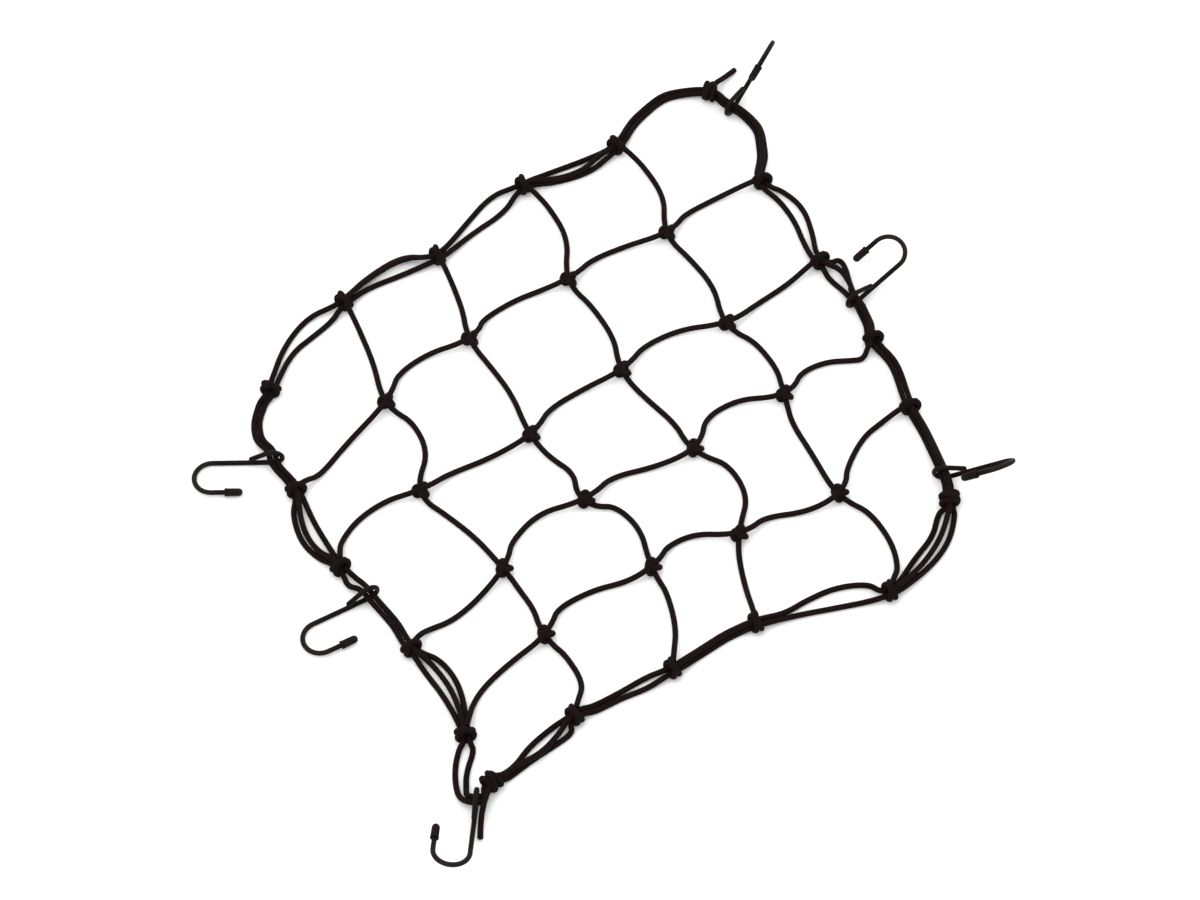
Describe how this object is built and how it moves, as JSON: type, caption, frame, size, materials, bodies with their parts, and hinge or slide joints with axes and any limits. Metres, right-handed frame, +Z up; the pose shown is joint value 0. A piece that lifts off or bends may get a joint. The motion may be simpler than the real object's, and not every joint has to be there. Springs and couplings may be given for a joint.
{
  "type": "elastic cargo net",
  "caption": "Square-mesh net of elastic cord on a doubled border cord, with bent-wire J hooks that swing on it by closed eyes.",
  "frame": {"origin": "on the surface the net lies on, under the middle of the whole part with its hooks", "axes": "+Z up from that surface, +Y towards the back corner, +X to the right"},
  "size_m": [0.57, 0.6554, 0.0465],
  "materials": {
    "braided_cord": "woven polyester sheath, matt with a slight sheen",
    "rubber_core": "natural rubber strands, matt",
    "coated_wire": "dipped black coating, semi-gloss",
    "tip_cap": "soft moulded vinyl, satin"
  },
  "bodies": {
    "net": {"mesh_line_a1": "braided_cord", "mesh_line_a2": "braided_cord", "mesh_line_a3": "braided_cord", "mesh_line_a4": "braided_cord", "mesh_line_b1": "braided_cord", "mesh_line_b2": "braided_cord", "mesh_line_b3": "braided_cord", "mesh_line_b4": "braided_cord", "mesh_run_e1_e2": "braided_cord", "mesh_run_e3_e4": "braided_cord", "mesh_run_top_e5": "braided_cord", "mesh_run_e6_e7": "braided_cord", "mesh_run_e8_e9": "braided_cord", "mesh_run_e10_e11": "braided_cord", "mesh_run_e12_bottom": "braided_cord", "mesh_run_e13_e14": "braided_cord", "mesh_run_e15_e16": "braided_cord", "mesh_tail_top": "braided_cord", "mesh_tail_bottom": "braided_cord", "border_outer_turn": "braided_cord", "border_inner_turn": "braided_cord", "rubber_core_ends": "rubber_core", "mesh_knots_row_1": "braided_cord", "mesh_knots_row_2": "braided_cord", "mesh_knots_row_3": "braided_cord", "mesh_knots_row_4": "braided_cord", "edge_knots_back_left": "braided_cord", "edge_knots_back_right": "braided_cord", "edge_knots_front_right": "braided_cord", "edge_knots_front_left": "braided_cord", "corner_knot_left": "braided_cord", "corner_knot_top": "braided_cord", "corner_knot_right": "braided_cord", "corner_knot_bottom": "braided_cord"},
    "hook_left_upper": {"hook_wire_left_upper": "coated_wire", "hook_cap_left_upper": "tip_cap"},
    "hook_left_lower": {"hook_wire_left_lower": "coated_wire", "hook_cap_left_lower": "tip_cap"},
    "hook_bottom": {"hook_wire_bottom": "coated_wire", "hook_cap_bottom": "tip_cap"},
    "hook_right_upper": {"hook_wire_right_upper": "coated_wire", "hook_cap_right_upper": "tip_cap"},
    "hook_top": {"hook_wire_top": "coated_wire", "hook_cap_top": "tip_cap"},
    "hook_right_lower": {"hook_wire_right_lower": "coated_wire", "hook_cap_right_lower": "tip_cap"}
  },
  "joints": [
    {"name": "hook_left_upper_swing", "type": "hinge", "parent": "net", "child": "hook_left_upper", "pos_m": [-0.232, -0.013, 0.0086], "axis": [-0.2079, 0.9781, 0], "range_deg": [-90, 120]},
    {"name": "hook_left_lower_swing", "type": "hinge", "parent": "net", "child": "hook_left_lower", "pos_m": [-0.162, -0.12, 0.0086], "axis": [-0.5878, 0.809, 0], "range_deg": [-90, 120]},
    {"name": "hook_bottom_swing", "type": "hinge", "parent": "net", "child": "hook_bottom", "pos_m": [-0.086, -0.274, 0.0086], "axis": [-0.9994, 0.0349, 0], "range_deg": [-90, 120]},
    {"name": "hook_right_upper_swing", "type": "hinge", "parent": "net", "child": "hook_right_upper", "pos_m": [0.178, 0.118, 0.0086], "axis": [0.5736, -0.8192, 0], "range_deg": [-90, 120]},
    {"name": "hook_top_swing", "type": "hinge", "parent": "net", "child": "hook_top", "pos_m": [0.093, 0.286, 0.0086], "axis": [0.848, -0.5299, 0], "range_deg": [-90, 120]},
    {"name": "hook_right_lower_swing", "type": "hinge", "parent": "net", "child": "hook_right_lower", "pos_m": [0.235, -0.025, 0.0086], "axis": [0.3256, -0.9455, 0], "range_deg": [-90, 120]}
  ]
}
